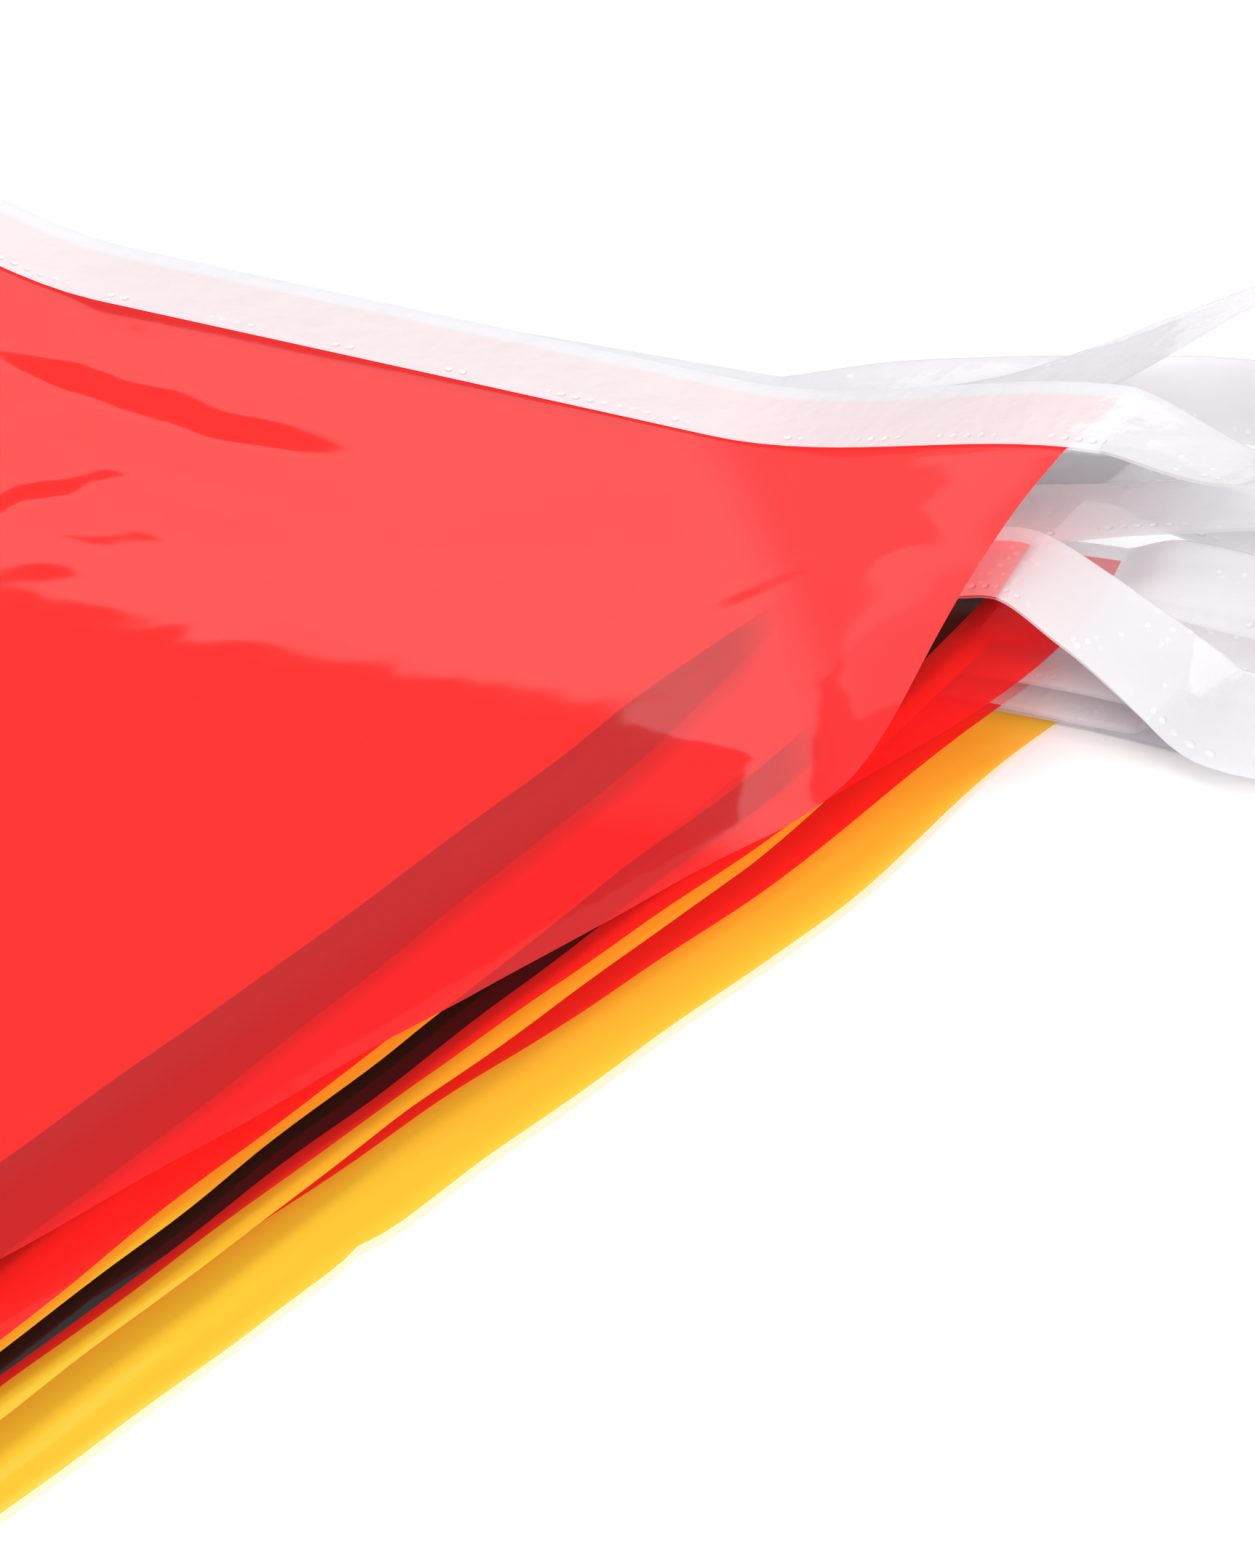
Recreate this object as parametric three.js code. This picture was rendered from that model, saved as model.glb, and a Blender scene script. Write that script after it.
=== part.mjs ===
// Folded pennant bunting: eleven triangular film pennants in red, yellow and black,
// bound along one continuous white tape and folded back and forth into a flat pile.
// The slack tape between the pennants springs out as loops at both ends of the headings.
// Millimetres. X runs along the headings, Y from the tips to the headings, Z up from the floor.
import * as THREE from 'three';
import { mergeVertices } from 'three/addons/utils/BufferGeometryUtils.js';

// Driving sizes
const PENNANT_WIDTH = 200;
const PENNANT_LENGTH = 300;
const TIP_WIDTH = 4;
const TAPE_WIDTH = 15;
const SHEET = 1;
const CLEARANCE = 0.3;
const LOOSE = 0.1;

// How the pile is stacked: each layer lifts the ones above it by one step
const FLAT_STEP = SHEET + CLEARANCE + LOOSE;
const HEADING_STEP = 1;
const CORNER_STEP = 1.35;
const HEADING_FROM = 42;
const HEADING_FULL = 134;
const RIGHT_CORNER = { from: 40, full: 105 };
const LEFT_CORNER = { from: 55, full: 115 };
const TAPES_RIGHT = 112;
const TAPES_LEFT = -134;
const TAPES_FRONT = 90;
const COVER = 2;
const DRAPE = 34;
const CORNER_DROP = 48;

// One row for each pennant, from the top of the pile down.
// x and y place the middle of the heading edge, and turn is its angle in degrees.
// The inset is how far the right edge lies inside a straight cut: at the corner, by the
// shoulder, half way down and near the tip. Left is the same for the whole left edge, and
// tape is how far right of the middle the tape still follows the heading.
const PENNANTS = [
  { paint: 'red', x: 9, y: 138, turn: -4, corner: 8, shoulder: -0.5, middle: 3.5, low: 9.5, left: 2, tape: 92 },
  { paint: 'yellow', x: -24, y: 142, turn: -3, corner: -5, shoulder: 2.5, middle: -1.5, low: -4.5, left: 0, tape: 84 },
  { paint: 'black', x: -19, y: 145.5, turn: 0, corner: 2, shoulder: 1, middle: -2, low: -3, left: 3, tape: 62 },
  { paint: 'red', x: -13, y: 114, turn: -1, corner: 1.5, shoulder: 2, middle: 1, low: -2.5, left: 4, tape: 97 },
  { paint: 'yellow', x: -15, y: 125, turn: 1, corner: 0, shoulder: 0, middle: -1, low: -0.5, left: 0, tape: 100 },
  { paint: 'black', x: -2, y: 146, turn: -1, corner: -1, shoulder: -2, middle: -3, low: -5, left: 2, tape: 101 },
  { paint: 'red', x: -4, y: 124, turn: 0, corner: -10.5, shoulder: -0.5, middle: 3, low: 4.2, left: 5, tape: 106 },
  { paint: 'yellow', x: -7, y: 118, turn: 0, corner: 0, shoulder: -2, middle: 0, low: -1, left: 0, tape: 100 },
  { paint: 'black', x: -20, y: 114, turn: 0, corner: 0, shoulder: 0, middle: 0, low: 0, left: 2, tape: 92 },
  { paint: 'red', x: -1, y: 116, turn: -3, corner: 1.5, shoulder: -1.5, middle: 0, low: 0, left: 3, tape: 98.5 },
  { paint: 'yellow', x: 8, y: 115, turn: -1, corner: 3.5, shoulder: -2, middle: -0.5, low: -1, left: 0, tape: 96.5 },
];

const FINISHES = {
  red: { color: 0xf43033, roughness: 0.3 },
  yellow: { color: 0xffcd33, roughness: 0.3 },
  black: { color: 0x261c1d, roughness: 0.3 },
  white: { color: 0xf3ecef, roughness: 0.35 },
};

// Small helpers
const ramp = (value, from, to) => THREE.MathUtils.smoothstep(value, from, to);
const mix = THREE.MathUtils.lerp;
const paint = (name) => new THREE.MeshStandardMaterial({
  ...FINISHES[name],
  metalness: 0,
  side: THREE.DoubleSide,
});

// A pennant's own coordinates: across from its centre line, down from its heading edge
const STATIONS = { corner: 20, shoulder: 75, middle: 150, low: 240 };

function inset(pennant, down) {
  const { corner, shoulder, middle, low } = STATIONS;
  if (down < shoulder) return mix(pennant.corner, pennant.shoulder, ramp(down, corner, shoulder));
  if (down < middle) return mix(pennant.shoulder, pennant.middle, (down - shoulder) / (middle - shoulder));
  return mix(pennant.middle, pennant.low, Math.min((down - middle) / (low - middle), 1));
}

function halfWidth(down) {
  return mix(PENNANT_WIDTH, TIP_WIDTH, down / PENNANT_LENGTH) / 2;
}

function toPile(pennant, across, down) {
  const angle = THREE.MathUtils.degToRad(pennant.turn);
  return {
    x: pennant.x + across * Math.cos(angle) + down * Math.sin(angle),
    y: pennant.y + across * Math.sin(angle) - down * Math.cos(angle),
  };
}

function fromPile(pennant, x, y) {
  const angle = THREE.MathUtils.degToRad(pennant.turn);
  const dx = x - pennant.x;
  const dy = y - pennant.y;
  return {
    across: dx * Math.cos(angle) + dy * Math.sin(angle),
    down: dx * Math.sin(angle) - dy * Math.cos(angle),
  };
}

// How much of a layer's step is there to lift what lies above a point: all of it over the
// pennant, and less and less beyond its edge, where the upper films drape down
function support(pennant, x, y) {
  const { across, down } = fromPile(pennant, x, y);
  const reach = halfWidth(Math.min(Math.max(down, -TAPE_WIDTH), PENNANT_LENGTH));
  const outRight = across - reach + inset(pennant, down);
  const sway = inset(pennant, down) * ramp(down, STATIONS.shoulder, STATIONS.low);
  const outLeft = -across - reach + pennant.left - sway;
  const beyond = Math.max(outRight, outLeft, -down, down - PENNANT_LENGTH);
  return 1 - ramp(beyond, COVER, COVER + DRAPE);
}

// The tapes cross the corners in every layer, so no layer is missing there
function tapeSupport(x, y) {
  const right = 1 - ramp(x, TAPES_RIGHT, TAPES_RIGHT + DRAPE);
  const left = ramp(x, TAPES_LEFT - DRAPE, TAPES_LEFT);
  return right * left * ramp(y, TAPES_FRONT - CORNER_DROP, TAPES_FRONT);
}

function step(x, y) {
  const heading = ramp(y, HEADING_FROM, HEADING_FULL);
  const right = ramp(x, RIGHT_CORNER.from, RIGHT_CORNER.full);
  const left = ramp(-x, LEFT_CORNER.from, LEFT_CORNER.full);
  return FLAT_STEP + heading * (HEADING_STEP + CORNER_STEP * Math.max(right, left));
}

function pileHeight(layer, x, y) {
  const tapes = tapeSupport(x, y);
  let height = SHEET / 2;
  for (const below of PENNANTS.slice(layer + 1)) {
    height += (1 - (1 - support(below, x, y)) * (1 - tapes)) * step(x, y);
  }
  return height;
}

// A thin slab over a grid: a box whose points are moved onto a surface by place(u, v, side),
// with u and v from 0 to 1 and side 1 on the upper face and -1 on the lower
function slab(cellsAcross, cellsAlong, place) {
  const box = new THREE.BoxGeometry(1, 1, 1, cellsAcross, cellsAlong, 1);
  const points = box.getAttribute('position');
  const point = new THREE.Vector3();
  for (let i = 0; i < points.count; i += 1) {
    point.fromBufferAttribute(points, i);
    const moved = place(point.x + 0.5, 0.5 - point.y, Math.sign(point.z));
    points.setXYZ(i, moved.x, moved.y, moved.z);
  }
  box.deleteAttribute('normal');
  box.deleteAttribute('uv');
  const merged = mergeVertices(box, 1e-4);
  merged.computeVertexNormals();
  return merged;
}

// Pennants
const FILM_CELLS_ACROSS = 12;
const FILM_CELLS_DOWN = 18;
const FILM_TOP = TAPE_WIDTH + CLEARANCE;

function filmPoint(layer, u, v) {
  const pennant = PENNANTS[layer];
  const down = mix(FILM_TOP, PENNANT_LENGTH, v ** 1.25);
  const reach = halfWidth(down);
  const sway = inset(pennant, down) * ramp(down, STATIONS.shoulder, STATIONS.low);
  const across = mix(pennant.left - reach - sway, reach - inset(pennant, down), u);
  const { x, y } = toPile(pennant, across, down);
  return new THREE.Vector3(x, y, pileHeight(layer, x, y));
}

function film(layer) {
  const geometry = slab(FILM_CELLS_ACROSS, FILM_CELLS_DOWN, (u, v, side) => {
    const point = filmPoint(layer, u, v);
    point.z += (side * SHEET) / 2;
    return point;
  });
  const colour = PENNANTS[layer].paint;
  const mesh = new THREE.Mesh(geometry, paint(colour));
  mesh.name = `pennant_${String(layer + 1).padStart(2, '0')}_${colour}`;
  return mesh;
}

// The tape: one strip bound over every heading edge, with its slack folded back in a loop
// at the right after pennants 1, 3, 5, 7 and 9 and at the left after 2, 4, 6, 8 and 10.
// A waypoint is the middle of the strip, and its tilt is how far the back edge is raised,
// in degrees. Each loop runs out along one tape, turns, and comes back along the next.
const RIGHT_LOOPS = [
  [
    { x: 123, y: 118, z: 36, tilt: -15 },
    { x: 141, y: 120, z: 43, tilt: -55 },
    { x: 154, y: 136, z: 51, tilt: -90 },
    { x: 142, y: 151, z: 55, tilt: -65 },
    { x: 128, y: 153, z: 51, tilt: -30 },
    { x: 113, y: 151, z: 44, tilt: -15 },
    { x: 102, y: 146, z: 38.5, tilt: -5 },
    { x: 92, y: 140, z: 34, tilt: 0 },
    { x: 80, y: 134, z: 30, tilt: 0 },
  ],
  [
    { x: 60, y: 140.5, z: 23, tilt: 10 },
    { x: 80, y: 142, z: 26.5, tilt: 14 },
    { x: 98, y: 144, z: 28.5, tilt: 16 },
    { x: 113, y: 147, z: 28.5, tilt: 20 },
    { x: 137, y: 144, z: 27, tilt: 45 },
    { x: 158, y: 120, z: 19, tilt: 95 },
    { x: 148, y: 99, z: 10, tilt: 75 },
    { x: 126, y: 94.5, z: 9, tilt: 45 },
    { x: 118, y: 98.2, z: 11, tilt: 35 },
    { x: 111.7, y: 100.3, z: 13.7, tilt: 28 },
    { x: 102.3, y: 102.3, z: 18.2, tilt: 20 },
    { x: 91.4, y: 104.8, z: 22, tilt: 12 },
  ],
  [
    { x: 100, y: 122, z: 22.5, tilt: 0 },
    { x: 112, y: 124, z: 24.5, tilt: 0 },
    { x: 124, y: 128, z: 25.2, tilt: 0 },
    { x: 131, y: 130, z: 24.4, tilt: 0 },
    { x: 134.2, y: 131, z: 21.2, tilt: 0 },
    { x: 131, y: 131.5, z: 18, tilt: 0 },
    { x: 124, y: 132, z: 17.5, tilt: 0 },
    { x: 112, y: 132, z: 18, tilt: 0 },
  ],
  [
    { x: 110, y: 116, z: 16.8, tilt: 14 },
    { x: 123, y: 115, z: 16.8, tilt: 16 },
    { x: 136, y: 113, z: 16.6, tilt: 8 },
    { x: 143, y: 113, z: 15.6, tilt: 3 },
    { x: 146, y: 112, z: 12.8, tilt: 0 },
    { x: 143, y: 111, z: 10, tilt: 0 },
    { x: 136, y: 111, z: 9.4, tilt: 0 },
    { x: 120, y: 111, z: 10.5, tilt: 0 },
  ],
  [
    { x: 96, y: 105, z: 7.2, tilt: 0 },
    { x: 107, y: 103.5, z: 7.9, tilt: 0 },
    { x: 112, y: 103, z: 7.6, tilt: 0 },
    { x: 114.3, y: 103, z: 5.5, tilt: 0 },
    { x: 112, y: 103, z: 3.4, tilt: 0 },
    { x: 107, y: 103, z: 3.2, tilt: 0 },
  ],
];
const RIGHT_TAIL = [
  { x: 128, y: 104, z: 0.5, tilt: 0 },
  { x: 150, y: 107, z: 0.5, tilt: 0 },
];

// The loops at the left spread like a fan. Out is how far they reach past the pile, rise
// lifts the far end and open is the height between the two legs.
const LEFT_LOOPS = [
  { out: 48, rise: 13, open: 9 },
  { out: 52, rise: 8, open: 8 },
  { out: 46, rise: 4.5, open: 7 },
  { out: 50, rise: 2.5, open: 5 },
  { out: 40, rise: 1, open: 4 },
];
const LEFT_TAIL = [
  { x: -128, y: 146, z: 40, tilt: 0 },
  { x: -150, y: 150, z: 44.5, tilt: 0 },
  { x: -168, y: 151, z: 48.5, tilt: 0 },
];
const HEADING_SECTIONS = 12;
const SLACK_SECTIONS = 4;

function headingSection(layer, across) {
  const ends = [TAPE_WIDTH, 0].map((down) => {
    const { x, y } = toPile(PENNANTS[layer], across, down);
    return new THREE.Vector3(x, y, pileHeight(layer, x, y));
  });
  const half = ends[1].clone().sub(ends[0]).divideScalar(2);
  return { centre: ends[0].add(half), half };
}

function heading(layer) {
  const left = -PENNANT_WIDTH / 2;
  return Array.from({ length: HEADING_SECTIONS + 1 }, (_, i) => (
    headingSection(layer, mix(left, PENNANTS[layer].tape, i / HEADING_SECTIONS))
  ));
}

function waySection({ x, y, z, tilt }) {
  const angle = THREE.MathUtils.degToRad(tilt);
  const half = new THREE.Vector3(0, Math.cos(angle), Math.sin(angle)).multiplyScalar(TAPE_WIDTH / 2);
  return { centre: new THREE.Vector3(x, y, z), half };
}

// A smooth strip through some sections, after the one before them and up to the last
function slack(sections, skipEnd) {
  const centres = new THREE.CatmullRomCurve3(sections.map(({ centre }) => centre));
  const halves = new THREE.CatmullRomCurve3(sections.map(({ half }) => half), false, 'catmullrom');
  const spans = sections.length - 1;
  const count = (spans - 1 - (skipEnd ? 1 : 0)) * SLACK_SECTIONS;
  return Array.from({ length: count - (skipEnd ? 1 : 0) }, (_, i) => {
    const t = (1 + (i + 1) / SLACK_SECTIONS) / spans;
    const along = centres.getTangent(t);
    const half = halves.getPoint(t).projectOnPlane(along).setLength(TAPE_WIDTH / 2);
    return { centre: centres.getPoint(t), half };
  });
}

function leftWaypoints(leave, arrive, { out, rise, open }) {
  const radius = open / 2;
  const middle = leave.clone().add(arrive).divideScalar(2);
  const at = (reach, leg, lift) => {
    const inward = ramp(reach, 0, out * 0.8);
    return waySection({
      x: TAPES_LEFT - reach,
      y: mix(leg.y, middle.y, inward),
      z: mix(leg.z, middle.z, inward) + rise * (reach / out) ** 2 + lift,
      tilt: 0,
    });
  };
  const round = [90, 45, 0, -45, -90].map((degrees) => {
    const angle = THREE.MathUtils.degToRad(degrees);
    return at(out - radius + radius * Math.cos(angle), middle, radius * Math.sin(angle));
  });
  return [
    at(0, leave, 0),
    at(out * 0.4, leave, radius / 2),
    ...round,
    at(out * 0.4, arrive, -radius / 2),
    at(0, arrive, 0),
  ];
}

function tapeSections() {
  const route = [];
  PENNANTS.forEach((pennant, layer) => {
    const run = heading(layer);
    if (layer % 2 === 1) run.reverse();
    if (layer === 0) {
      const tail = [run[1], run[0], ...LEFT_TAIL.map(waySection)];
      route.push(...slack(tail, false).reverse());
    } else {
      const before = route.slice(-2);
      const way = layer % 2 === 1
        ? RIGHT_LOOPS[(layer - 1) / 2].map(waySection)
        : leftWaypoints(leftEdge(layer - 1), leftEdge(layer), LEFT_LOOPS[layer / 2 - 1]);
      route.push(...slack([...before, ...way, run[0], run[1]], true));
    }
    route.push(...run);
  });
  const tail = [...route.slice(-2), ...RIGHT_TAIL.map(waySection)];
  route.push(...slack(tail, false));
  return route;
}

// Where a tape leaves the stacked corners at the left
function leftEdge(layer) {
  const { y } = headingSection(layer, -PENNANT_WIDTH / 2).centre;
  return new THREE.Vector3(TAPES_LEFT, y, pileHeight(layer, TAPES_LEFT, y));
}

function tape() {
  const sections = tapeSections();
  const last = sections.length - 1;
  const geometry = slab(1, last, (u, v, side) => {
    const i = Math.round(v * last);
    const { centre, half } = sections[i];
    const along = sections[Math.min(i + 1, last)].centre.clone().sub(sections[Math.max(i - 1, 0)].centre);
    const normal = along.cross(half).normalize();
    return centre.clone().addScaledVector(half, 2 * u - 1).addScaledVector(normal, (side * SHEET) / 2);
  });
  const mesh = new THREE.Mesh(geometry, paint('white'));
  mesh.name = 'header_tape';
  return mesh;
}

const bunting = new THREE.Group();
PENNANTS.forEach((pennant, layer) => bunting.add(film(layer)));
bunting.add(tape());

export default bunting;
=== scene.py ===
# %% [markdown]
# # Folded pennant bunting
# The object is a string of triangular pennants cut from thin glossy polyethylene film. One white
# tape binds their headings, and the string is folded back and forth into a flat pile. This
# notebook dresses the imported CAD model: every sheet is replaced by a thin one in the same place.

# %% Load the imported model
import math

import bmesh
import bpy
from mathutils import Matrix, Vector, noise


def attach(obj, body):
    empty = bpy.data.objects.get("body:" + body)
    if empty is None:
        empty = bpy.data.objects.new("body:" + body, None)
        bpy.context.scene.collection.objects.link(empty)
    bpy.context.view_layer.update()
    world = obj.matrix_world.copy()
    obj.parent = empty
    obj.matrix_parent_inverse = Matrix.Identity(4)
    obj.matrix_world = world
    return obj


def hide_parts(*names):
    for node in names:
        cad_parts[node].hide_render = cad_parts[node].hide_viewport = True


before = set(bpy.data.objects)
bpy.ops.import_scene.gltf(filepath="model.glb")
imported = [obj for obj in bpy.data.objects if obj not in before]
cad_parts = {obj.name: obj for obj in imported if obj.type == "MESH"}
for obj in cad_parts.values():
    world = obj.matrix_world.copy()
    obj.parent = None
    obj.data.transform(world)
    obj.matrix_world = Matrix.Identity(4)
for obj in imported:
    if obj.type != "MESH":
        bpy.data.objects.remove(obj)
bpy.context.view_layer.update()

MM = 0.001

# %% [markdown]
# ## Camera
# The photo looks down at 33 degrees from a little to the right, and from so far away that
# parallel edges stay parallel. A very long lens at 5 m gives that, and it still lets the
# other views frame the whole pile.

# %% Camera
AZIMUTH = math.radians(18)
ELEVATION = math.radians(33)
PHOTO_WIDTH, PHOTO_HEIGHT = 1725, 2156
PIXELS_PER_MM = 9.7
CENTRE_RIGHT, CENTRE_UP = 63.56, 25.98
CAMERA_DISTANCE = 5.0

view_right = Vector((math.cos(AZIMUTH), math.sin(AZIMUTH), 0))
view_back = Vector((
    math.sin(AZIMUTH) * math.cos(ELEVATION),
    -math.cos(AZIMUTH) * math.cos(ELEVATION),
    math.sin(ELEVATION),
))
view_up = view_back.cross(view_right)
view_centre = (view_right * CENTRE_RIGHT + view_up * CENTRE_UP) * MM

camera_data = bpy.data.cameras.new("photo_camera")
camera_data.sensor_width = 36
frame_height = PHOTO_HEIGHT / PIXELS_PER_MM * MM
camera_data.lens = camera_data.sensor_width * CAMERA_DISTANCE / frame_height
camera_data.clip_start, camera_data.clip_end = 0.5, 60
camera = bpy.data.objects.new("photo_camera", camera_data)
camera.matrix_world = (
    Matrix.Translation(view_centre + view_back * CAMERA_DISTANCE)
    @ Matrix((view_right, view_up, view_back)).transposed().to_4x4()
)
bpy.context.scene.collection.objects.link(camera)
bpy.context.scene.camera = camera
print("the frame is", round(frame_height / MM), "mm high, lens", round(camera_data.lens), "mm")

# %% [markdown]
# ## Colours and nodes
# Hex colours are sRGB, and the shaders work in linear light, so one function turns them. A
# second small function adds a node with its settings and links.


# %% Colour and node helpers
def colour(hex_code):
    channels = [int(hex_code[i:i + 2], 16) / 255 for i in (1, 3, 5)]
    return [c / 12.92 if c <= 0.04045 else ((c + 0.055) / 1.055) ** 2.4 for c in channels] + [1.0]


def add_node(tree, kind, settings=None, **inputs):
    node = tree.nodes.new(kind)
    for key, value in (settings or {}).items():
        setattr(node, key, value)
    for key, value in inputs.items():
        names = [s for s in node.inputs if s.name.replace(" ", "_") == key or s.identifier == key]
        socket = names[0] if names else node.inputs[int(key.strip("_"))]
        if isinstance(value, bpy.types.NodeSocket):
            tree.links.new(value, socket)
        else:
            socket.default_value = value
    return node


def new_material(name):
    material = bpy.data.materials.new(name)
    material.use_nodes = True
    material.node_tree.nodes.clear()
    return material, material.node_tree


# %% [markdown]
# ## The pile
# Each sheet of the pile lies on the ones below it. The height over a point is the sum of one
# step for every pennant under it, and a step is larger at the headings, where the tapes are
# springy, and largest at the corners. Past a pennant's edge its step fades out, so the sheets
# above drape down there. These are the same sizes and sums as in the CAD model.

# %% Sizes of the pile, in millimetres and degrees
PENNANT_WIDTH, PENNANT_LENGTH, TIP_WIDTH, TAPE_WIDTH = 200, 300, 4, 15
SHEET, FLAT_STEP, HEADING_STEP, CORNER_STEP = 1, 1.4, 1, 1.35
HEADING_FROM, HEADING_FULL = 42, 134
RIGHT_CORNER, LEFT_CORNER = (40, 105), (55, 115)
TAPES_RIGHT, TAPES_LEFT, TAPES_FRONT = 112, -134, 90
COVER, DRAPE, CORNER_DROP = 2, 34, 48
STATIONS = (20, 75, 150, 240)

# colour, x and y of the middle of the heading edge, turn, the right edge's inset at the four
# stations, the left edge's inset, how far right of the middle the tape follows the heading,
# and how far the film shows through its tape
PENNANTS = [
    ("red", 9, 138, -4, (8, -0.5, 3.5, 9.5), 2, 92, 0.03),
    ("yellow", -24, 142, -3, (-5, 2.5, -1.5, -4.5), 0, 84, 0.15),
    ("black", -19, 145.5, 0, (2, 1, -2, -3), 3, 62, 0.15),
    ("red", -13, 114, -1, (1.5, 2, 1, -2.5), 4, 97, 0.6),
    ("yellow", -15, 125, 1, (0, 0, -1, -0.5), 0, 100, 0.3),
    ("black", -2, 146, -1, (-1, -2, -3, -5), 2, 101, 0.15),
    ("red", -4, 124, 0, (-10.5, -0.5, 3, 4.2), 5, 106, 0.6),
    ("yellow", -7, 118, 0, (0, -2, 0, -1), 0, 100, 0.3),
    ("black", -20, 114, 0, (0, 0, 0, 0), 2, 92, 0.5),
    ("red", -1, 116, -3, (1.5, -1.5, 0, 0), 3, 98.5, 0.6),
    ("yellow", 8, 115, -1, (3.5, -2, -0.5, -1), 0, 96.5, 0.15),
]


# %% Heights over the pile
def ramp(value, start, end):
    t = min(max((value - start) / (end - start), 0), 1)
    return t * t * (3 - 2 * t)


def mix(a, b, t):
    return a + (b - a) * t


def inset(pennant, down):
    corner, shoulder, middle, low = pennant[4]
    at_corner, at_shoulder, at_middle, at_low = STATIONS
    if down < at_shoulder:
        return mix(corner, shoulder, ramp(down, at_corner, at_shoulder))
    if down < at_middle:
        return mix(shoulder, middle, (down - at_shoulder) / (at_middle - at_shoulder))
    return mix(middle, low, min((down - at_middle) / (at_low - at_middle), 1))


def half_width(down):
    return mix(PENNANT_WIDTH, TIP_WIDTH, down / PENNANT_LENGTH) / 2


def sway(pennant, down):
    return inset(pennant, down) * ramp(down, STATIONS[1], STATIONS[3])


def to_pile(pennant, across, down):
    angle = math.radians(pennant[3])
    return (
        pennant[1] + across * math.cos(angle) + down * math.sin(angle),
        pennant[2] + across * math.sin(angle) - down * math.cos(angle),
    )


def from_pile(pennant, x, y):
    angle = math.radians(pennant[3])
    dx, dy = x - pennant[1], y - pennant[2]
    return (
        dx * math.cos(angle) + dy * math.sin(angle),
        dx * math.sin(angle) - dy * math.cos(angle),
    )


def support(pennant, x, y):
    across, down = from_pile(pennant, x, y)
    reach = half_width(min(max(down, -TAPE_WIDTH), PENNANT_LENGTH))
    out_right = across - reach + inset(pennant, down)
    out_left = -across - reach + pennant[5] - sway(pennant, down)
    beyond = max(out_right, out_left, -down, down - PENNANT_LENGTH)
    return 1 - ramp(beyond, COVER, COVER + DRAPE)


def tape_support(x, y):
    right = 1 - ramp(x, TAPES_RIGHT, TAPES_RIGHT + DRAPE)
    left = ramp(x, TAPES_LEFT - DRAPE, TAPES_LEFT)
    return right * left * ramp(y, TAPES_FRONT - CORNER_DROP, TAPES_FRONT)


def step(x, y):
    corner = max(ramp(x, *RIGHT_CORNER), ramp(-x, *LEFT_CORNER))
    return FLAT_STEP + ramp(y, HEADING_FROM, HEADING_FULL) * (HEADING_STEP + CORNER_STEP * corner)


def pile_height(layer, x, y):
    tapes = tape_support(x, y)
    lift = step(x, y)
    height = SHEET / 2
    for below in PENNANTS[layer + 1:]:
        height += (1 - (1 - support(below, x, y)) * (1 - tapes)) * lift
    return height


print("height at the right corner:", round(pile_height(0, 98, 128), 1), "mm")


# %% [markdown]
# ## Route of the tape
# The tape runs along every heading, and its slack goes round in loops. The loops at the right are
# the ones in the photo. A loop is a few places on the strip's middle line, each with the tilt of
# the strip there, joined by a smooth curve.

# %% Loops of the tape
RIGHT_LOOPS = [
    [(123, 118, 36, -15), (141, 120, 43, -55), (154, 136, 51, -90), (142, 151, 55, -65),
     (128, 153, 51, -30), (113, 151, 44, -15), (102, 146, 38.5, -5), (92, 140, 34, 0),
     (80, 134, 30, 0)],
    [(60, 140.5, 23, 10), (80, 142, 26.5, 14), (98, 144, 28.5, 16), (113, 147, 28.5, 20),
     (137, 144, 27, 45), (158, 120, 19, 95), (148, 99, 10, 75), (126, 94.5, 9, 45),
     (118, 98.2, 11, 35), (111.7, 100.3, 13.7, 28), (102.3, 102.3, 18.2, 20),
     (91.4, 104.8, 22, 12)],
    [(100, 122, 22.5, 0), (112, 124, 24.5, 0), (124, 128, 25.2, 0), (131, 130, 24.4, 0),
     (134.2, 131, 21.2, 0), (131, 131.5, 18, 0), (124, 132, 17.5, 0), (112, 132, 18, 0)],
    [(110, 116, 16.8, 14), (123, 115, 16.8, 16), (136, 113, 16.6, 8), (143, 113, 15.6, 3),
     (146, 112, 12.8, 0), (143, 111, 10, 0), (136, 111, 9.4, 0), (120, 111, 10.5, 0)],
    [(96, 105, 7.2, 0), (107, 103.5, 7.9, 0), (112, 103, 7.6, 0), (114.3, 103, 5.5, 0),
     (112, 103, 3.4, 0), (107, 103, 3.2, 0)],
]
RIGHT_TAIL = [(128, 104, 0.5, 0), (150, 107, 0.5, 0)]
# how far each loop at the left reaches, how far its end rises, and how wide it opens
LEFT_LOOPS = [(48, 13, 9), (52, 8, 8), (46, 4.5, 7), (50, 2.5, 5), (40, 1, 4)]
LEFT_TAIL = [(-128, 146, 40, 0), (-150, 150, 44.5, 0), (-168, 151, 48.5, 0)]
HEADING_SECTIONS = 48
SLACK_SECTIONS = 8
LOOSE_SHOW = 0.3
# the loops before these pennants lie on other tapes, so more shows through them
CLOSE_LOOPS, CLOSE_SHOW = (7, 9), 0.5
# the heading of this pennant is still inside the tape for some sections of the loop
HELD_PAST = {3: 8}


def heading_section(layer, across):
    ends = []
    for down in (TAPE_WIDTH, 0):
        x, y = to_pile(PENNANTS[layer], across, down)
        ends.append(Vector((x, y, pile_height(layer, x, y))))
    half = (ends[1] - ends[0]) / 2
    return ends[0] + half, half


def heading_run(layer):
    left = -PENNANT_WIDTH / 2
    places = [mix(left, PENNANTS[layer][6], i / HEADING_SECTIONS) for i in range(HEADING_SECTIONS + 1)]
    return [heading_section(layer, across) for across in places]


def way_section(x, y, z, tilt):
    angle = math.radians(tilt)
    half = Vector((0, math.cos(angle), math.sin(angle))) * TAPE_WIDTH / 2
    return Vector((x, y, z)), half


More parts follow.
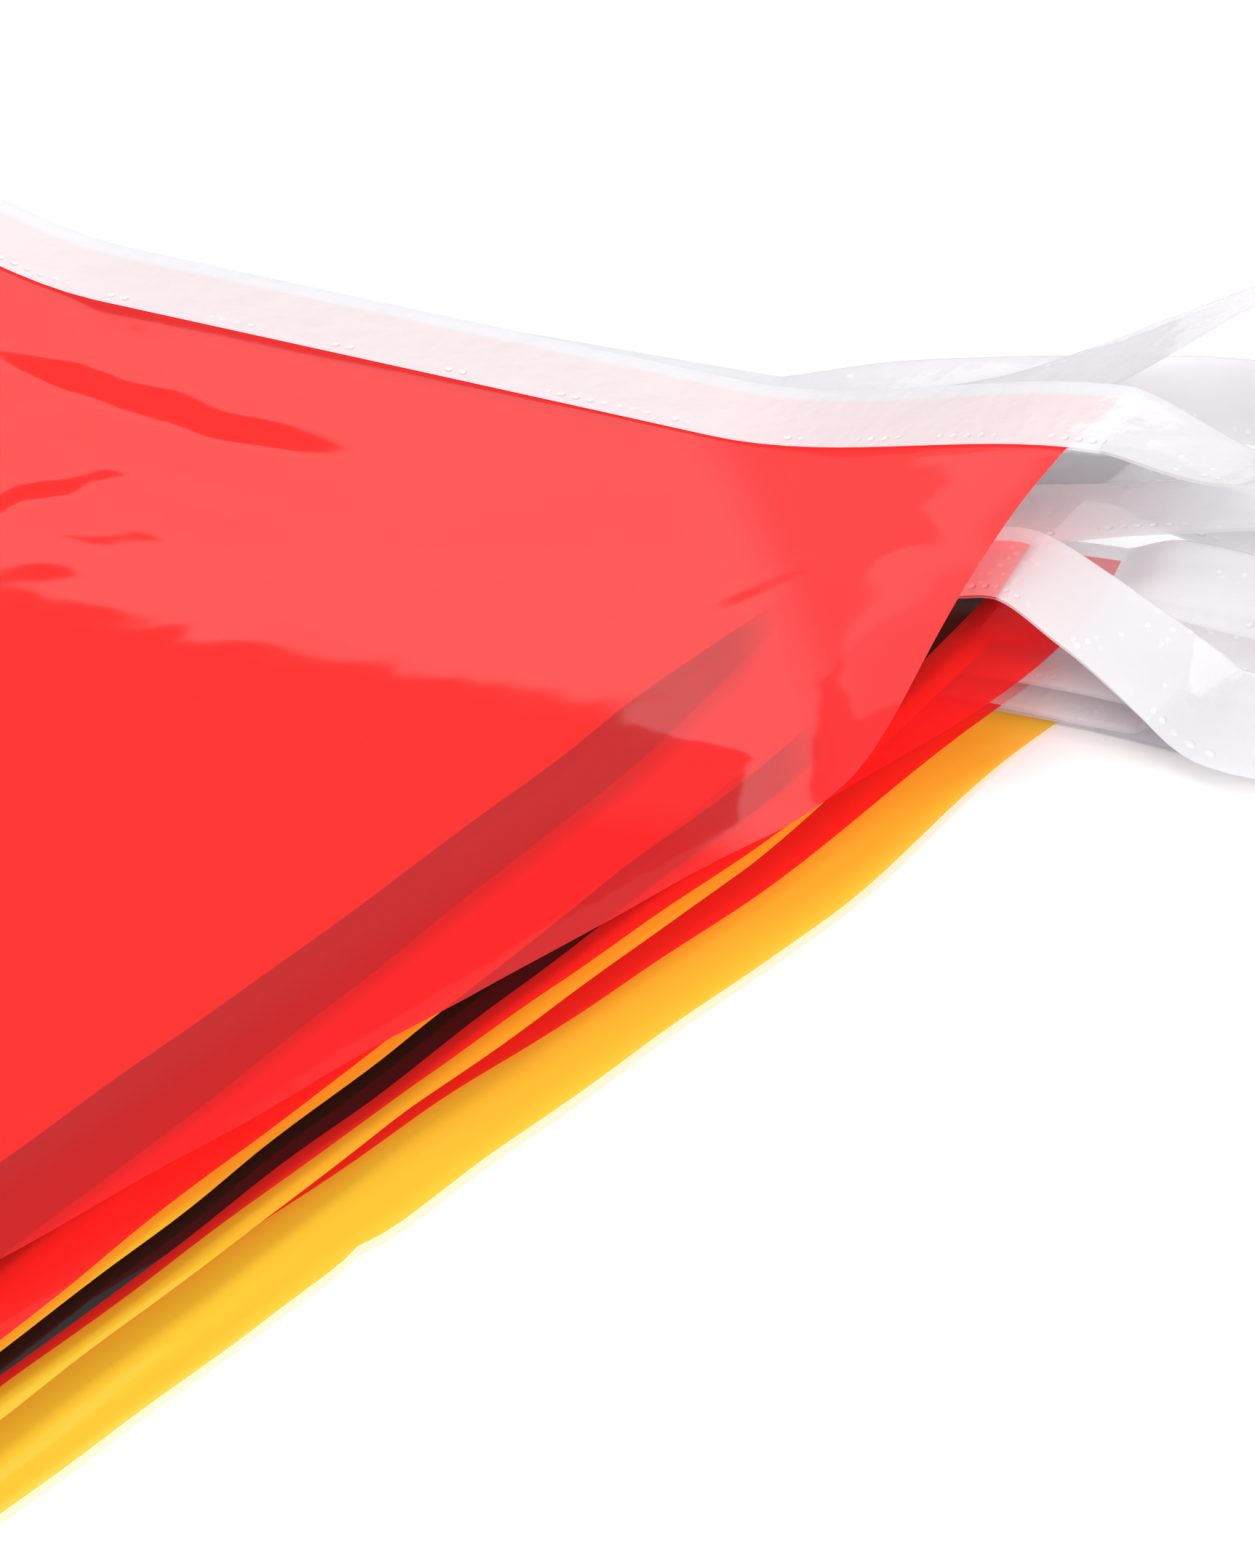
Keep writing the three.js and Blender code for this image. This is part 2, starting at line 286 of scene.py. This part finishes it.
# %% A smooth curve through places, the same kind as the CAD model's
def curve_point(points, t, spaced):
    place = t * (len(points) - 1)
    i = min(int(place), len(points) - 2)
    weight = place - i
    p1, p2 = points[i], points[i + 1]
    p0 = points[i - 1] if i > 0 else p1 * 2 - p2
    p3 = points[i + 2] if i + 2 < len(points) else p2 * 2 - p1
    if spaced:
        d0, d1, d2 = [max((b - a).length, 1e-6) ** 0.5 for a, b in ((p0, p1), (p1, p2), (p2, p3))]
        m1 = ((p1 - p0) / d0 - (p2 - p0) / (d0 + d1) + (p2 - p1) / d1) * d1
        m2 = ((p2 - p1) / d1 - (p3 - p1) / (d1 + d2) + (p3 - p2) / d2) * d1
    else:
        m1, m2 = (p2 - p0) / 2, (p3 - p1) / 2
    w2, w3 = weight * weight, weight ** 3
    return (
        p1 * (2 * w3 - 3 * w2 + 1) + m1 * (w3 - 2 * w2 + weight)
        + p2 * (3 * w2 - 2 * w3) + m2 * (w3 - w2)
    )


def slack(sections, skip_end):
    centres = [centre for centre, _ in sections]
    halves = [half for _, half in sections]
    spans = len(sections) - 1
    count = (spans - 1 - (1 if skip_end else 0)) * SLACK_SECTIONS
    made = []
    for i in range(count - (1 if skip_end else 0)):
        t = (1 + (i + 1) / SLACK_SECTIONS) / spans
        centre = curve_point(centres, t, True)
        ahead, behind = curve_point(centres, t + 1e-4, True), curve_point(centres, t - 1e-4, True)
        along = (ahead - behind).normalized()
        half = curve_point(halves, t, False)
        half = (half - along * half.dot(along)).normalized() * TAPE_WIDTH / 2
        made.append((centre, half))
    return made


# %% The whole route, from the free end at the left of the top pennant
def left_edge(layer):
    y = heading_section(layer, -PENNANT_WIDTH / 2)[0].y
    return Vector((TAPES_LEFT, y, pile_height(layer, TAPES_LEFT, y)))


def left_way(leave, arrive, out, rise, open_height):
    radius = open_height / 2
    middle = (leave + arrive) / 2

    def at(reach, leg, lift):
        inward = ramp(reach, 0, out * 0.8)
        z = mix(leg.z, middle.z, inward) + rise * (reach / out) ** 2 + lift
        return way_section(TAPES_LEFT - reach, mix(leg.y, middle.y, inward), z, 0)

    turn = [math.radians(degrees) for degrees in (90, 45, 0, -45, -90)]
    end = [at(out - radius + radius * math.cos(a), middle, radius * math.sin(a)) for a in turn]
    return (
        [at(0, leave, 0), at(out * 0.4, leave, radius / 2)] + end
        + [at(out * 0.4, arrive, -radius / 2), at(0, arrive, 0)]
    )


route = []
shows = []
held_sections = {}
for layer, pennant in enumerate(PENNANTS):
    run = heading_run(layer)
    if layer % 2:
        run.reverse()
    if layer == 0:
        tail = [run[1], run[0]] + [way_section(*w) for w in LEFT_TAIL]
        loose = slack(tail, False)[::-1]
    else:
        if layer % 2:
            way = [way_section(*w) for w in RIGHT_LOOPS[(layer - 1) // 2]]
        else:
            way = left_way(left_edge(layer - 1), left_edge(layer), *LEFT_LOOPS[layer // 2 - 1])
        loose = slack(route[-2:] + way + run[:2], True)
    first = len(route) + len(loose)
    route += loose + run
    loose_show = CLOSE_SHOW if layer in CLOSE_LOOPS else LOOSE_SHOW
    shows += [loose_show] * len(loose) + [pennant[7]] * len(run)
    if layer in HELD_PAST:
        held = range(first - HELD_PAST[layer], first + 1)
        held_sections[layer] = [route[i] for i in held]
        for i in held:
            shows[i] = pennant[7]
tail = slack(route[-2:] + [way_section(*w) for w in RIGHT_TAIL], False)
route += tail
shows += [LOOSE_SHOW] * len(tail)
travel = [0.0]
for (a, _), (b, _) in zip(route, route[1:]):
    travel.append(travel[-1] + (b - a).length)
print("tape:", round(travel[-1]), "mm in", len(route), "sections")

# %% [markdown]
# ## Polyethylene film
# Pennant film is blown low-density polyethylene, about 0.07 mm thick, with pigment in it. It has
# a smooth shiny skin, so it mirrors a soft box with crisp wavy edges, and it is slightly
# see-through: a black pennant underneath turns the red one dark. The shader is a glossy
# pigmented surface mixed with a tinted see-through part. For the light that falls on what lies
# below, the tint is paler, so the lower layers stay as bright as in the photo. Fine crinkles are
# a bump, on Object coordinates, from 26 mm waves down to about 1 mm ones.
#
# The top pennant has a material of its own. Towards its right corner it stands clear of the
# next film, so less shows through it and it mirrors less. Its drooping right edge is duller too,
# where the photo shows no reflection. Two attributes of the mesh say where these places are.

# %% Film materials
FILMS = {
    # surface, tint of what shows through, tint of the light that passes, share that shows
    # through, share of the light that passes
    "red": ("#fb3436", "#ff4a4c", "#ffb0b0", 0.5, 0.82),
    "yellow": ("#ffd138", "#ffe07c", "#f4ead0", 0.24, 0.25),
    "black": ("#181213", "#1a1416", "#1a1416", 0.03, 0.03),
}
# how much the skin mirrors, and less where the top film is lifted or its edge droops
GLOSS, LIFTED_GLOSS, EDGE_GLOSS = 0.64, 0.08, 0.06
# how much of the see-through is left where the film is lifted off the next one
HAZE = 0.12
FILM_ROUGHNESS = 0.07
# size of the crinkles, and how deep they are
CRINKLE_MM, CRINKLE_DEPTH = 26, 0.16
FINE_CRINKLE_MM, FINE_CRINKLE_DEPTH = 7, 0.012


def film_material(name, top=False):
    surface, tint, glow, share, for_light = FILMS[name]
    material, tree = new_material(f"blown_polyethylene_film_{name}" + ("_top" if top else ""))
    place = add_node(tree, "ShaderNodeTexCoord").outputs["Object"]
    wide = add_node(
        tree, "ShaderNodeTexNoise",
        Vector=place, Scale=1 / (CRINKLE_MM * MM), Detail=2.0, Distortion=0.6,
    )
    fine = add_node(
        tree, "ShaderNodeTexNoise", Vector=place, Scale=1 / (FINE_CRINKLE_MM * MM), Detail=3.0
    )
    wave = add_node(
        tree, "ShaderNodeBump",
        Strength=1.0, Distance=CRINKLE_DEPTH * MM, Height=wide.outputs["Fac"],
    )
    bump = add_node(
        tree, "ShaderNodeBump", Strength=1.0, Distance=FINE_CRINKLE_DEPTH * MM,
        Height=fine.outputs["Fac"], Normal=wave.outputs["Normal"],
    )
    gloss = GLOSS
    if top:
        lifted = add_node(tree, "ShaderNodeAttribute", {"attribute_name": "lifted"}).outputs["Fac"]
        droop = add_node(tree, "ShaderNodeAttribute", {"attribute_name": "droop"}).outputs["Fac"]
        at_edge = add_node(tree, "ShaderNodeMapRange", Value=droop, To_Min=GLOSS, To_Max=EDGE_GLOSS)
        gloss = add_node(
            tree, "ShaderNodeMapRange", Value=lifted, To_Min=at_edge.outputs[0], To_Max=LIFTED_GLOSS
        ).outputs[0]
        share = add_node(
            tree, "ShaderNodeMapRange", Value=lifted, To_Min=share, To_Max=share * HAZE
        ).outputs[0]
    skin = add_node(
        tree, "ShaderNodeBsdfPrincipled", Base_Color=colour(surface), Roughness=FILM_ROUGHNESS,
        IOR=1.5, Specular_IOR_Level=gloss, Normal=bump.outputs["Normal"],
    )
    in_shadow = add_node(tree, "ShaderNodeLightPath").outputs["Is Shadow Ray"]
    hue = add_node(
        tree, "ShaderNodeMix", {"data_type": "RGBA"},
        Factor_Float=in_shadow, A_Color=colour(tint), B_Color=colour(glow),
    )
    clear = add_node(tree, "ShaderNodeBsdfTransparent", Color=hue.outputs["Result"])
    passes = add_node(
        tree, "ShaderNodeMapRange", Value=in_shadow, To_Min=share, To_Max=for_light
    )
    film = add_node(
        tree, "ShaderNodeMixShader", Fac=passes.outputs[0], Shader=skin.outputs[0], _2=clear.outputs[0]
    )
    add_node(tree, "ShaderNodeOutputMaterial", Surface=film.outputs[0])
    return material


film_materials = {name: film_material(name) for name in FILMS}
film_materials["top"] = film_material("red", top=True)
print("film materials:", [m.name for m in film_materials.values()])


# %% [markdown]
# ## Pennants
# Every pennant is one cut sheet. A grid from bmesh is moved onto the pile, point by point, from
# 3 mm inside its tape down to the tip. A little low relief makes it lie as film does, in slack
# waves that are smaller than the gap to the next sheet.

# %% Slack in the film
# creases pressed into the top pennant: both ends, half width and depth
CREASES = [
    ((-90, 116), (-12, 104.5), 7, 0.85),
    ((-62, 76), (-36, 96), 4, 0.25),
    ((8, 108), (40, 112), 5, 0.2),
    ((2, 80), (34, 92), 6, 0.22),
    ((49, 84), (75, 104), 5, 0.2),
    ((75, 104), (92, 96), 5, 0.2),
    ((50, 62), (72, 60.5), 3, -0.15),
]
# a small nick in the edge of the lowest pennant: the pennant, place, half width and depth
EDGE_NICK = (10, 176, 3.5, 1.1)
# how far the edge of the lowest pennant curls up
CURL, CURL_WIDTH = 0.9, 7
# the top pennant is stiff, so its edge stands off a little instead of draping
STIFF_LIFT, STIFF_WIDTH, STIFF_REACH = 2.0, 25, 2.4
STIFF_BELOW = (50, 90)
# the sag of the film beside its tape, the low waves over all of it, and the ripples at the
# left of the top pennant, which fray the border of the reflection
SAG, CORNER_SAG, SAG_WIDTH = 0.8, 1.6, 10
WAVE, RIPPLE = 0.22, 0.3


def crease(ends, width, depth, x, y):
    start, end = Vector(ends[0]), Vector(ends[1])
    along = (end - start).normalized()
    offset = Vector((x, y)) - start
    place = offset.dot(along) / (end - start).length
    aside = (offset.y * along.x - offset.x * along.y) / width
    fade = ramp(place, -0.15, 0.15) * (1 - ramp(place, 0.8, 1.15))
    return -depth * aside * math.exp(-aside * aside) * fade


def slack_wave(layer, x, y):
    wave = WAVE * noise.noise(Vector((x / 48, y / 60, 3.7 * layer))) * ramp(math.hypot(x, y), 0, 60)
    if layer > 0:
        return wave
    for start, end, width, depth in CREASES:
        wave += crease((start, end), width, depth, x, y)
    ripple = noise.noise(Vector((x / 13, y / 6.5, 8))) * (1 - ramp(x, -50, 20))
    return wave + RIPPLE * ripple * ramp(y, 55, 75)


# %% Pennants
# how far inside the tape the film starts, and the cells of the grids: the top one has more
FILM_TOP = 3
TOP_CELLS, OTHER_CELLS = (110, 170), (44, 80)
EDGE_WAVE = 0.9
# where the top film is lifted off the next one, along its line to the right corner
LIFTED_FROM = (106, 125)
# how wide its dull edge is, and how far down it starts
DROOP_WIDTH, DROOP_FROM = (16, 30), (88, 104)


def edge_wave(layer, down):
    wave = EDGE_WAVE * noise.noise(Vector((down / 30, 9.1 * layer, 2))) * ramp(down, 60, 110)
    nick_layer, nick_at, nick_width, nick_depth = EDGE_NICK
    aside = (down - nick_at) / nick_width
    return wave + (nick_depth * math.exp(-aside * aside) if layer == nick_layer else 0)


def film_height(layer, across, down):
    pennant = PENNANTS[layer]
    x, y = to_pile(pennant, across, down)
    if down >= TAPE_WIDTH:
        away = ramp(down, TAPE_WIDTH, TAPE_WIDTH + 25)
        sag = mix(SAG, CORNER_SAG, ramp(x, 10, 55))
        sag *= (1 - math.exp((TAPE_WIDTH - down) / SAG_WIDTH)) * (1 - ramp(down, 30, 130))
        height = pile_height(layer, x, y)
        curl = 0
        to_edge = half_width(down) - inset(pennant, down) - across
        if layer == len(PENNANTS) - 1:
            curl = CURL * (1 - ramp(to_edge, 0, CURL_WIDTH)) * ramp(down, TAPE_WIDTH, 60)
        if layer == 0:
            curl = STIFF_LIFT * (1 - ramp(to_edge, 0, STIFF_WIDTH)) * ramp(down, *STIFF_BELOW)
        return height + away * slack_wave(layer, x, y) - sag * ramp(height, 4, 12) + curl
    ends = [pile_height(layer, *to_pile(pennant, across, d)) for d in (0, TAPE_WIDTH)]
    return mix(ends[0], ends[1], down / TAPE_WIDTH)


def film_point(layer, u, v):
    pennant = PENNANTS[layer]
    down = mix(FILM_TOP, PENNANT_LENGTH, v ** 1.15)
    reach = half_width(down)
    right = reach - inset(pennant, down) - edge_wave(layer, down)
    if layer == 0:
        right += STIFF_REACH * ramp(down, *STIFF_BELOW)
    if down < TAPE_WIDTH:
        right = min(right, pennant[6]) if layer not in HELD_PAST else pennant[6]
    across = mix(pennant[5] - reach - sway(pennant, down), right, u)
    x, y = to_pile(pennant, across, down)
    return Vector((x, y, film_height(layer, across, down))) * MM


def edge_droop(point):
    across, down = from_pile(PENNANTS[0], point.x / MM, point.y / MM)
    return (1 - ramp(half_width(down) - across, *DROOP_WIDTH)) * ramp(down, *DROOP_FROM)


def new_piece(name, bm, material, smooth=True):
    mesh = bpy.data.meshes.new(name)
    bm.to_mesh(mesh)
    bm.free()
    mesh.materials.append(material)
    mesh.polygons.foreach_set("use_smooth", [smooth] * len(mesh.polygons))
    piece = bpy.data.objects.new(name, mesh)
    bpy.context.scene.collection.objects.link(piece)
    return piece


for layer, pennant in enumerate(PENNANTS):
    cells = OTHER_CELLS if layer else TOP_CELLS
    bm = bmesh.new()
    bmesh.ops.create_grid(bm, x_segments=cells[0], y_segments=cells[1], size=0.5, calc_uvs=True)
    for vert in bm.verts:
        vert.co = film_point(layer, vert.co.x + 0.5, 0.5 - vert.co.y)
    if layer == 0:
        lifted = bm.verts.layers.float.new("lifted")
        droop = bm.verts.layers.float.new("droop")
        for vert in bm.verts:
            vert[lifted] = ramp((vert.co.x + 0.65 * vert.co.y) / MM, *LIFTED_FROM)
            vert[droop] = edge_droop(vert.co)
    if layer in held_sections:
        sections = held_sections[layer]
        made = bmesh.ops.create_grid(bm, x_segments=1, y_segments=len(sections) - 1, size=0.5)
        for vert in made["verts"]:
            centre, half = sections[round((0.5 - vert.co.y) * (len(sections) - 1))]
            vert.co = (centre + half * (-1 if vert.co.x < 0 else 0.6)) * MM
    film_name = f"{layer + 1:02d}_{pennant[0]}"
    film = new_piece("film_" + film_name, bm, film_materials[pennant[0] if layer else "top"])
    node_name = "pennant_" + film_name
    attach(film, "root")
    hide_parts(node_name)
print(len(PENNANTS), "pennants")


# %% [markdown]
# ## White tape
# The tape is milky white polyethylene, folded double lengthwise over the headings, with its open
# edges welded together by a row of hot dots. Light passes through it, and the film inside shows
# as a pale tint. Each dot is a small dent, and its colour is also painted whiter: a painted
# highlight for the glint the dent catches. The dots are 2.2 mm apart along a line 2 mm from the
# open edge, on the tape's own UV map, which is in millimetres. They come in stretches, as in the
# photo, where many are pressed flat again. On the loops the soft tape catches the light in small
# specks, and these are painted highlights: whiter spots in the colour from a Voronoi pattern of
# 2 mm cells. The attribute "show" says how far the tape lets see what is inside or under it.

# %% Tape material
DOT_PITCH, DOT_LINE, DOT_RADIUS, DOT_DEPTH = 2.2, 2.0, 0.7, 0.2
SPECK_CELL, SPECK_RADIUS = 2.0, 0.3
CREASE_DEPTH = 0.5
# shares of the light that pass through loose tape, and through tape that shows the film well
LIGHT_THROUGH, LIGHT_THROUGH_HELD = 0.4, 0.85
MILKINESS = 0.15


def tape_material():
    material, tree = new_material("milky_polyethylene_tape")
    math_node = "ShaderNodeMath"

    def patches(scale, low, high):
        cloud = add_node(tree, "ShaderNodeTexNoise", Vector=uv, Scale=scale, Detail=2.0)
        return add_node(
            tree, "ShaderNodeMapRange", {"interpolation_type": "SMOOTHSTEP"},
            Value=cloud.outputs["Fac"], From_Min=low, From_Max=high, To_Min=0.0, To_Max=1.0,
        ).outputs[0]

    # the welded dots: the distance from the nearest dot, where the strip is folded at its middle
    uv = add_node(tree, "ShaderNodeUVMap", {"uv_map": "strip_mm"}).outputs["UV"]
    parts = add_node(tree, "ShaderNodeSeparateXYZ", Vector=uv)
    aside = add_node(tree, math_node, {"operation": "SUBTRACT"}, _0=parts.outputs["X"], _1=TAPE_WIDTH)
    from_fold = add_node(tree, math_node, {"operation": "ABSOLUTE"}, _0=aside.outputs[0])
    off_line = add_node(
        tree, math_node, {"operation": "SUBTRACT"}, _0=TAPE_WIDTH - DOT_LINE, _1=from_fold.outputs[0]
    )
    off_dot = add_node(
        tree, math_node, {"operation": "WRAP"},
        _0=parts.outputs["Y"], _1=DOT_PITCH / 2, _2=-DOT_PITCH / 2,
    )
    to_dot = add_node(tree, "ShaderNodeCombineXYZ", X=off_line.outputs[0], Y=off_dot.outputs[0])
    radius = add_node(tree, "ShaderNodeVectorMath", {"operation": "LENGTH"}, _0=to_dot.outputs[0])
    dent = add_node(
        tree, "ShaderNodeMapRange", {"interpolation_type": "SMOOTHSTEP"},
        Value=radius.outputs["Value"], From_Min=0.2, From_Max=DOT_RADIUS, To_Min=1.0, To_Max=0.0,
    )
    dents = add_node(
        tree, math_node, {"operation": "MULTIPLY"}, _0=dent.outputs[0], _1=patches(0.09, 0.5, 0.62)
    )

    # painted highlights: whiter specks in the colour, only where the tape is loose
    spot = add_node(tree, "ShaderNodeTexVoronoi", Vector=uv, Scale=1 / SPECK_CELL)
    speck = add_node(
        tree, "ShaderNodeMapRange", {"interpolation_type": "SMOOTHSTEP"},
        Value=spot.outputs["Distance"], From_Min=0.1, From_Max=SPECK_RADIUS, To_Min=1.0, To_Max=0.0,
    )
    show = add_node(tree, "ShaderNodeAttribute", {"attribute_name": "show"}).outputs["Fac"]
    loose = add_node(tree, "ShaderNodeMapRange", Value=show, From_Min=0.05, From_Max=0.3)
    scattered = add_node(
        tree, math_node, {"operation": "MULTIPLY"}, _0=speck.outputs[0], _1=patches(0.06, 0.54, 0.62)
    )
    specks = add_node(
        tree, math_node, {"operation": "MULTIPLY"}, _0=scattered.outputs[0], _1=loose.outputs[0]
    )

    crease = add_node(tree, "ShaderNodeTexNoise", Vector=uv, Scale=0.12, Detail=3.0, Roughness=0.55)
    soft = add_node(
        tree, "ShaderNodeBump",
        Strength=1.0, Distance=CREASE_DEPTH * MM, Height=crease.outputs["Fac"],
    )
    bump = add_node(
        tree, "ShaderNodeBump", {"invert": True}, Strength=1.0, Distance=DOT_DEPTH * MM,
        Height=dents.outputs[0], Normal=soft.outputs["Normal"],
    )
    # painted highlights: at the dents and the loose specks the tape's colour is painted white, in
    # place of real glints
    painted_highlights = add_node(
        tree, math_node, {"operation": "MAXIMUM"}, _0=specks.outputs[0], _1=dents.outputs[0]
    )
    painted_highlight_colour = add_node(
        tree, "ShaderNodeMix", {"data_type": "RGBA"}, Factor_Float=painted_highlights.outputs[0],
        A_Color=colour("#ebebee"), B_Color=colour("#ffffff"),
    )
    skin = add_node(
        tree, "ShaderNodeBsdfPrincipled", Base_Color=painted_highlight_colour.outputs["Result"], Roughness=0.09,
        IOR=1.5, Normal=bump.outputs["Normal"],
    )
    through = add_node(tree, "ShaderNodeBsdfTranslucent", Color=colour("#fdfbfc"))
    milky = add_node(
        tree, "ShaderNodeMixShader", Fac=MILKINESS, Shader=skin.outputs[0], _2=through.outputs[0]
    )
    clear = add_node(tree, "ShaderNodeBsdfTransparent", Color=colour("#fdfbfc"))
    in_shadow = add_node(tree, "ShaderNodeLightPath").outputs["Is Shadow Ray"]
    reaches = add_node(
        tree, "ShaderNodeMapRange", Value=show, From_Min=0.3, From_Max=0.5,
        To_Min=LIGHT_THROUGH, To_Max=LIGHT_THROUGH_HELD,
    )
    light = add_node(tree, math_node, {"operation": "MULTIPLY"}, _0=in_shadow, _1=reaches.outputs[0])
    passes = add_node(tree, math_node, {"operation": "MAXIMUM"}, _0=show, _1=light.outputs[0])
    tape = add_node(
        tree, "ShaderNodeMixShader",
        Fac=passes.outputs[0], Shader=milky.outputs[0], _2=clear.outputs[0],
    )
    add_node(tree, "ShaderNodeOutputMaterial", Surface=tape.outputs[0])
    return material


tape_white = tape_material()
print("tape material:", tape_white.name)

# %% [markdown]
# The strip is a grid again: its short side goes from the lower open edge, up round the fold at
# the back, to the upper open edge, and its long side follows the route. The two plies lie half a
# millimetre apart, with the film's heading between them.

# %% Tape
PLY_GAP = 0.25
FOLD = [(-1, -1), (-0.55, -1), (0, -1), (0.6, -1), (0.94, -1), (0.985, -0.7), (1, 0),
        (0.985, 0.7), (0.94, 1), (0.6, 1), (0, 1), (-0.55, 1), (-1, 1)]
last = len(route) - 1
bm = bmesh.new()
bmesh.ops.create_grid(bm, x_segments=len(FOLD) - 1, y_segments=last, size=0.5)
uv_layer = bm.loops.layers.uv.new("strip_mm")
show_layer = bm.verts.layers.float.new("show")
strip_mm = {}
for vert in bm.verts:
    i = round((0.5 - vert.co.y) * last)
    j = round((vert.co.x + 0.5) * (len(FOLD) - 1))
    side, ply = FOLD[j]
    centre, half = route[i]
    along = route[min(i + 1, last)][0] - route[max(i - 1, 0)][0]
    normal = -along.cross(half).normalized()
    vert.co = (centre + half * side + normal * ply * PLY_GAP) * MM
    vert[show_layer] = shows[i]
    reach = TAPE_WIDTH * (side + 1) / 2
    strip_mm[vert] = (reach if j <= len(FOLD) // 2 else 2 * TAPE_WIDTH - reach, travel[i])
for face in bm.faces:
    for loop in face.loops:
        loop[uv_layer].uv = strip_mm[loop.vert]
tape = new_piece("tape", bm, tape_white)
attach(tape, "root")
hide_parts("header_tape")

# %% [markdown]
# ## Floor and light
# The photo has a white floor that runs out to white. A soft box high up behind the pile is what
# the red film mirrors near its heading: its lower edge makes the wavy border on the film. The
# main light comes from high at the back left, so the shadow falls to the front right, and a
# lower box at the front right fills it. The backdrop is white for the camera and dimmer as light.

# %% Floor
floor_material, tree = new_material("matt_white_paper_floor")
paper = add_node(
    tree, "ShaderNodeBsdfPrincipled", Base_Color=colour("#fafafa"), Roughness=0.9,
    Emission_Color=colour("#ffffff"), Emission_Strength=0.06,
)
add_node(tree, "ShaderNodeOutputMaterial", Surface=paper.outputs[0])
FLOOR_RADIUS, FLOOR_BELOW = 6.0, 0.02
bm = bmesh.new()
bmesh.ops.create_circle(bm, cap_ends=True, segments=96, radius=FLOOR_RADIUS)
floor = new_piece("floor", bm, floor_material, smooth=False)
for vert in floor.data.vertices:
    vert.co.z = -FLOOR_BELOW * MM


# %% Lights
LIGHTS_AIM = Vector((0.03, 0.08, 0))
BACKDROP, DAYLIGHT = 1.0, 0.34


def soft_box(name, azimuth, elevation, distance, width, height, radiance):
    a, e = math.radians(azimuth), math.radians(elevation)
    towards = Vector((math.cos(a) * math.cos(e), math.sin(a) * math.cos(e), math.sin(e)))
    data = bpy.data.lights.new(name, "AREA")
    data.shape = "RECTANGLE"
    data.size, data.size_y = width, height
    data.energy = radiance * math.pi * width * height
    light = bpy.data.objects.new(name, data)
    light.location = LIGHTS_AIM + towards * distance
    light.rotation_mode = "QUATERNION"
    light.rotation_quaternion = towards.to_track_quat("Z", "Y")
    bpy.context.scene.collection.objects.link(light)


# name, azimuth, elevation, distance, width, height and radiance
soft_box("box_behind", 108, 52, 2.0, 2.6, 0.55, 2.0)
soft_box("key_left", 168, 60, 2.2, 1.5, 1.5, 3.8)
soft_box("fill_front", -34, 30, 2.2, 2.2, 1.2, 5.4)

world = bpy.data.worlds.new("studio")
world.use_nodes = True
world.node_tree.nodes.clear()
seen = add_node(world.node_tree, "ShaderNodeBackground", Color=colour("#ffffff"), Strength=BACKDROP)
dim = add_node(world.node_tree, "ShaderNodeBackground", Color=colour("#ffffff"), Strength=DAYLIGHT)
ray = add_node(world.node_tree, "ShaderNodeLightPath")
sky = add_node(
    world.node_tree, "ShaderNodeMixShader",
    Fac=ray.outputs["Is Camera Ray"], Shader=dim.outputs[0], _2=seen.outputs[0],
)
add_node(world.node_tree, "ShaderNodeOutputWorld", Surface=sky.outputs[0])
bpy.context.scene.world = world
bpy.context.scene.view_settings.view_transform = "Standard"
